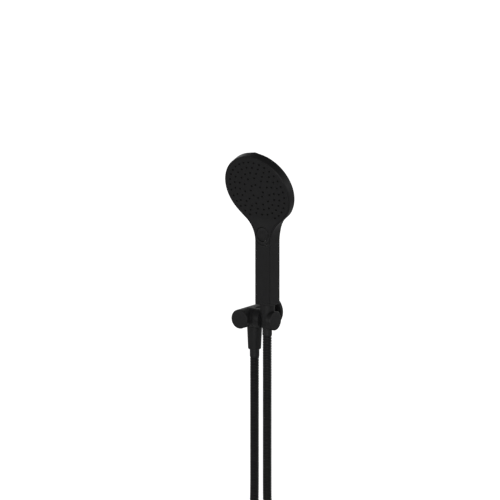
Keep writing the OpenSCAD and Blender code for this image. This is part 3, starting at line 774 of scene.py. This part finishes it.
def make_nozzles():
    """Rubber tips through the face, each with its bore, on the sheet behind it."""
    at_face = face_matrix()
    segments = 20
    points, faces = [], []
    for x, d in nozzle_spots():
        top = proud(x, d) + bend_lift(d) + TIP_PROUD
        # up the outside, over the rounded end and down the bore
        profile = [
            (1.62, -SKIN), (1.6, top - 1.3), (1.5, top - 0.45), (1.3, top - 0.12), (1.05, top), (0.75, top),
            (0.55, top - 0.08), (0.48, top - 0.3), (0.45, top - 1.6),
        ]
        first = len(points)
        for r, z in profile:
            points += [at_face @ Vector((cx, cy, z)) for cx, cy in circle(x, -d, r, segments)]
        faces += tube_faces(len(profile), segments, first)
        end = len(points)
        points.append(at_face @ Vector((x, -d, profile[-1][1])))
        faces += [[end - segments + s, end - segments + (s + 1) % segments, end] for s in range(segments)]
        faces.append([first + s for s in range(segments)][::-1])
    tips = make_mesh("rubber_nozzles", points, faces, SKIN_SHARP_DEG)
    sheet = round_corners([
        (0.0, -SKIN, 0), (MAT_R, -SKIN, 0.3), (MAT_R, -SKIN - MAT_T, 0.3), (0.0, -SKIN - MAT_T, 0),
    ])
    join(tips, revolve("nozzle_backing", sheet, at_face))
    smooth_by_angle(tips, SKIN_SHARP_DEG)
    stand_in(tips, "nozzle_mat")


make_back_shell()
make_front_cover()
make_handle_panel()
make_collar()
make_button()
make_spring()
make_nozzles()


# ---------- Wall outlet, holder and hose fittings ----------

ARM_R, ARM_LEN = 16.0, 86.0
OUTLET_Y, OUTLET_NUT_Z = -43.0, -18.2
HANDSET_NUT_Z = HANDLE_BOTTOM - SEAM
NUT_R, NUT_FOOT_R, NUT_LEN = 12.5, 10.7, 39.3
STEM_R, THREAD_R, THREAD_LEN = 6.94, 10.48, 15.1
FERRULE_R, FERRULE_LEN = 8.0, 12.6
ROSE_R, ROSE_T, ROSE_RIM, ROSE_PLATE = 26.7, 5.5, 3.0, 4.0
END_CAP_LEN, PLUG_R, PLUG_LEN = 8.0, 10.9, 5.7
BOSS_X, BARREL_X, BARREL_END, CAP_X = 16.9, 17.55, 53.0, 56.0
LINER_R, SLOT_W = 12.7, 16.0
BOLT_WAY_X, BOLT_WAY_R = 23.1, 7.0


def out_of_wall(y):
    return Matrix.Translation((0, y, 0)) @ Matrix.Rotation(math.pi / 2, 4, "X")


def along_barrel(x):
    return Matrix.Translation((x, AXIS_Y, 0)) @ Matrix.Rotation(math.pi / 2, 4, "Y")


def upright(x, y, z):
    return Matrix.Translation((x, y, z))


def make_rose():
    """The round wall plate, with a finely rounded front edge and a shallow recess behind."""
    profile = round_corners([
        (ARM_R + 0.1, ROSE_T, 0), (ROSE_R, ROSE_T, 1.0), (ROSE_R, 0, 0), (ROSE_R - ROSE_RIM, 0, 0),
        (ROSE_R - ROSE_RIM, ROSE_T - ROSE_PLATE, 0), (ARM_R + 0.1, ROSE_T - ROSE_PLATE, 0),
    ], steps=8)
    stand_in(revolve("wall_flange", profile, out_of_wall(0), closed=True, segments=128), "wall_rose")


def make_arm():
    """Arm, its stub towards the holder and the boss of its outlet, as one casting."""
    arm = revolve("outlet_arm", [
        (0, 0.5), (ARM_R, 0.5), (ARM_R, ARM_LEN - 2.6), (ARM_R - 0.1, ARM_LEN - 2.5), (0, ARM_LEN - 2.5),
    ], out_of_wall(0), segments=128)
    stub = revolve("stub", round_corners([
        (0, 0, 0), (ARM_R, 0, 0), (ARM_R, BOSS_X, 0.4), (0, BOSS_X, 0),
    ]), along_barrel(0), segments=128)
    boss = revolve("boss", round_corners([
        (0, 0, 0), (NUT_R, 0, 0.4), (NUT_R, 9, 0), (0, 9, 0),
    ]), upright(0, OUTLET_Y, OUTLET_NUT_Z + SEAM), segments=128)
    combine(arm, stub, "UNION")
    combine(arm, boss, "UNION")
    smooth_by_angle(arm, SHARP_DEG)
    stand_in(arm, "wall_arm")


def make_end_cap():
    profile = round_corners([
        (0, 0, 0), (PLUG_R, 0, 0), (PLUG_R, PLUG_LEN, 0), (ARM_R, PLUG_LEN, 0.1), (ARM_R, END_CAP_LEN, 1.0),
        (0, END_CAP_LEN, 0),
    ], steps=8)
    cap = revolve("arm_front_cap", profile, out_of_wall(END_CAP_LEN - ARM_LEN), segments=128)
    stand_in(cap, "arm_end_cap")


def make_barrel():
    """The holder: a barrel with an upright seat for the hose nut, slotted at the front for the hose."""
    length = BARREL_END - BARREL_X
    barrel = revolve("holder_cradle", round_corners([
        (0, 0, 0), (ARM_R, 0, 0.4), (ARM_R, length, 0.15), (0, length, 0),
    ]), along_barrel(BARREL_X), segments=128)
    seat = revolve("seat", [(0, -20), (LINER_R, -20), (LINER_R, 20), (0, 20)], upright(AXIS_X, AXIS_Y, 0))
    combine(barrel, seat, "DIFFERENCE")
    slot = box_mesh("slot", (AXIS_X - SLOT_W / 2, AXIS_Y - 30, -20), (AXIS_X + SLOT_W / 2, AXIS_Y, 20))
    combine(barrel, slot, "DIFFERENCE")
    bolt_way = revolve("bolt_way", [(0, -1), (BOLT_WAY_R, -1), (BOLT_WAY_R, 10), (0, 10)],
                       along_barrel(BOLT_WAY_X))
    combine(barrel, bolt_way, "DIFFERENCE")
    soften(barrel, 0.5)
    stand_in(barrel, "holder_barrel")


def make_barrel_cap():
    length = CAP_X - BARREL_END
    profile = round_corners([(0, 0, 0), (ARM_R, 0, 0.15), (ARM_R, length, 1.0), (0, length, 0)], steps=8)
    stand_in(revolve("barrel_cap", profile, along_barrel(BARREL_END), segments=128), "barrel_end_cap")


def make_nut(name, node, x, y, z):
    """Conical swivel nut: a rounded foot, and a fine chamfer at the top."""
    foot = NUT_R + (2 - NUT_LEN) * (NUT_R - NUT_FOOT_R) / NUT_LEN
    profile = round_corners([
        (THREAD_R + 0.05, 0, 0), (NUT_R, 0, 0.5), (foot, -NUT_LEN, 2.0), (STEM_R + 0.06, -NUT_LEN, 0),
        (STEM_R + 0.06, -THREAD_LEN, 0), (THREAD_R + 0.05, -THREAD_LEN, 0),
    ], steps=8)
    stand_in(revolve(name, profile, upright(x, y, z), closed=True, segments=128), node)


def make_ferrule(name, node, x, y, z):
    """Pressed sleeve over the hose's end, with two faint press rings."""
    low = -NUT_LEN - SEAM - FERRULE_LEN
    high = low + FERRULE_LEN
    wall = []
    for t in np.linspace(0, 1, 41):
        dip = sum(0.22 * math.exp(-((t - ring) / 0.045) ** 2) for ring in (0.3, 0.62))
        wall.append((FERRULE_R - dip, low + 0.7 + t * (FERRULE_LEN - 1.4)))
    foot = [(5.6, low + 0.5), (6.2, low), (FERRULE_R - 0.5, low + 0.1), (FERRULE_R - 0.1, low + 0.5)]
    head = [(FERRULE_R - 0.1, high - 0.3), (FERRULE_R - 0.5, high), (5.05, high), (5.05, low + 3)]
    stand_in(revolve(name, foot + wall + head, upright(x, y, z), closed=True), node)


make_rose()
make_arm()
make_end_cap()
make_barrel()
make_barrel_cap()
make_nut("outlet_cone_nut", "outlet_hose_nut", 0, OUTLET_Y, OUTLET_NUT_Z)
make_nut("handset_cone_nut", "handset_hose_nut", AXIS_X, AXIS_Y, HANDSET_NUT_Z)
make_ferrule("outlet_crimp_sleeve", "outlet_ferrule", 0, OUTLET_Y, OUTLET_NUT_Z)
make_ferrule("handset_crimp_sleeve", "handset_ferrule", AXIS_X, AXIS_Y, HANDSET_NUT_Z)


# ---------- Materials ----------

def finish_material(name, colour, roughness, specular, grain_mm, grain_bump, vary, metallic):
    """A coated or moulded surface: fine grain in its relief, and slow drift in its colour and gloss."""
    material = bpy.data.materials.new(name)
    material.use_nodes = True
    nodes, links = material.node_tree.nodes, material.node_tree.links
    shader = nodes["Principled BSDF"]
    shader.inputs["Metallic"].default_value = metallic
    shader.inputs["Specular IOR Level"].default_value = specular
    where = nodes.new("ShaderNodeTexCoord")
    grain = nodes.new("ShaderNodeTexNoise")
    grain.inputs["Scale"].default_value = 1000.0 / grain_mm
    grain.inputs["Detail"].default_value = 3.0
    links.new(where.outputs["Object"], grain.inputs["Vector"])
    drift = nodes.new("ShaderNodeTexNoise")
    drift.inputs["Scale"].default_value = 60.0
    drift.inputs["Detail"].default_value = 4.0
    links.new(where.outputs["Object"], drift.inputs["Vector"])
    tone = nodes.new("ShaderNodeMix")
    tone.data_type = "RGBA"
    tone.inputs["A"].default_value = (*[c * (1 - vary) for c in colour], 1)
    tone.inputs["B"].default_value = (*[min(1.0, c * (1 + vary)) for c in colour], 1)
    links.new(drift.outputs["Fac"], tone.inputs["Factor"])
    links.new(tone.outputs["Result"], shader.inputs["Base Color"])
    gloss = nodes.new("ShaderNodeMapRange")
    gloss.inputs["To Min"].default_value = roughness - 0.05
    gloss.inputs["To Max"].default_value = roughness + 0.05
    links.new(drift.outputs["Fac"], gloss.inputs["Value"])
    links.new(gloss.outputs["Result"], shader.inputs["Roughness"])
    relief = nodes.new("ShaderNodeBump")
    relief.inputs["Strength"].default_value = grain_bump
    relief.inputs["Distance"].default_value = 0.00005
    links.new(grain.outputs["Fac"], relief.inputs["Height"])
    links.new(relief.outputs["Normal"], shader.inputs["Normal"])
    return material


BLACK = (0.014, 0.014, 0.0145)
# Colour, roughness, specular, size of the grain in mm, strength of its relief, drift of the colour, metallic
FINISHES = {
    "satin_black_metal": (BLACK, 0.40, 0.22, 0.35, 0.15, 0.06, 0.0),
    "satin_black_plastic": (BLACK, 0.38, 0.22, 0.30, 0.12, 0.06, 0.0),
    "black_hose": ((0.011, 0.011, 0.0115), 0.36, 0.22, 0.5, 0.15, 0.10, 0.0),
    "black_silicone": ((0.005, 0.005, 0.005), 0.65, 0.08, 0.25, 0.2, 0.15, 0.0),
    "seal_rubber": ((0.015, 0.015, 0.015), 0.7, 0.3, 0.3, 0.5, 0.2, 0.0),
    "brass": ((0.62, 0.43, 0.16), 0.3, 0.5, 0.6, 0.2, 0.08, 1.0),
    "steel": ((0.5, 0.5, 0.51), 0.32, 0.5, 0.4, 0.25, 0.06, 1.0),
    "white_plastic": ((0.72, 0.72, 0.69), 0.45, 0.4, 0.4, 0.3, 0.04, 0.0),
    "dark_plastic": ((0.02, 0.02, 0.021), 0.5, 0.35, 0.3, 0.4, 0.12, 0.0),
    "green_plastic": ((0.06, 0.3, 0.11), 0.4, 0.4, 0.3, 0.3, 0.08, 0.0),
}
MATERIALS = {name: finish_material(name, *finish) for name, finish in FINISHES.items()}


def paint_everything():
    """Every piece and every carried-over CAD node takes the material of its slot."""
    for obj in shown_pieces():
        name = obj.get("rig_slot") or SLOT_OF.get(obj.name)
        obj.data.materials.clear()
        obj.data.materials.append(MATERIALS[name])


paint_everything()


# ---------- Studio ----------

WALL_GLOW, CEILING_GLOW, FLOOR_GLOW = 0.90, 0.08, 0.05
CEILING_FROM, CEILING_TO = 0.10, 0.60    # heights, from 0 at the horizon to 1 overhead
FLOOR_HALF, FLOOR_Z = 12000, -750        # in millimetres
LIT_POINT = (0.02, -0.06, 0.1)           # the handle, in metres


def make_world():
    """White to the eye. To the surfaces, a grey room with pale walls under a dark ceiling."""
    world = bpy.data.worlds.new("studio")
    world.use_nodes = True
    nodes, links = world.node_tree.nodes, world.node_tree.links
    nodes.clear()
    out = nodes.new("ShaderNodeOutputWorld")
    seen = nodes.new("ShaderNodeBackground")
    seen.inputs["Color"].default_value = (1, 1, 1, 1)
    seen.inputs["Strength"].default_value = 1.0
    room = nodes.new("ShaderNodeBackground")
    room.inputs["Color"].default_value = (1, 1, 1, 1)
    where = nodes.new("ShaderNodeTexCoord")
    height = nodes.new("ShaderNodeSeparateXYZ")
    glow = nodes.new("ShaderNodeMapRange")
    glow.interpolation_type = "SMOOTHSTEP"
    glow.inputs["From Min"].default_value = CEILING_FROM
    glow.inputs["From Max"].default_value = CEILING_TO
    glow.inputs["To Min"].default_value = WALL_GLOW
    glow.inputs["To Max"].default_value = CEILING_GLOW
    links.new(where.outputs["Generated"], height.inputs["Vector"])
    links.new(height.outputs["Z"], glow.inputs["Value"])
    links.new(glow.outputs["Result"], room.inputs["Strength"])
    path = nodes.new("ShaderNodeLightPath")
    choose = nodes.new("ShaderNodeMixShader")
    links.new(path.outputs["Is Camera Ray"], choose.inputs["Fac"])
    links.new(room.outputs["Background"], choose.inputs[1])
    links.new(seen.outputs["Background"], choose.inputs[2])
    links.new(choose.outputs["Shader"], out.inputs["Surface"])
    bpy.context.scene.world = world


def make_light(name, position, size, power):
    """A square soft light that faces the handle."""
    data = bpy.data.lights.new(name, "AREA")
    data.shape = "RECTANGLE"
    data.size = data.size_y = size
    data.energy = power
    lamp = bpy.data.objects.new(name, data)
    lamp.location = position
    lamp.rotation_euler = (Vector(LIT_POINT) - Vector(position)).to_track_quat("-Z", "Y").to_euler()
    bpy.context.scene.collection.objects.link(lamp)


def make_floor():
    """A wide pale floor below the hose's loop: white to the eye, and a soft glow to the surfaces."""
    floor = box_mesh("floor", (-FLOOR_HALF, -FLOOR_HALF, FLOOR_Z - 10), (FLOOR_HALF, FLOOR_HALF, FLOOR_Z))
    material = bpy.data.materials.new("floor_white")
    material.use_nodes = True
    nodes, links = material.node_tree.nodes, material.node_tree.links
    shader = nodes["Principled BSDF"]
    shader.inputs["Base Color"].default_value = (0.8, 0.8, 0.8, 1)
    shader.inputs["Roughness"].default_value = 0.9
    shader.inputs["Emission Color"].default_value = (1, 1, 1, 1)
    path = nodes.new("ShaderNodeLightPath")
    glow = nodes.new("ShaderNodeMapRange")
    glow.inputs["To Min"].default_value = FLOOR_GLOW
    glow.inputs["To Max"].default_value = 1.0
    links.new(path.outputs["Is Camera Ray"], glow.inputs["Value"])
    links.new(glow.outputs["Result"], shader.inputs["Emission Strength"])
    floor.data.materials.append(material)


make_world()
make_floor()
make_light("key", (-1.3, -2.2, 0.25), 1.2, 1.0)
make_light("fill", (1.3, -2.0, 0.5), 1.0, 16)

bpy.context.scene.view_settings.view_transform = "Standard"
bpy.context.scene.view_settings.look = "None"
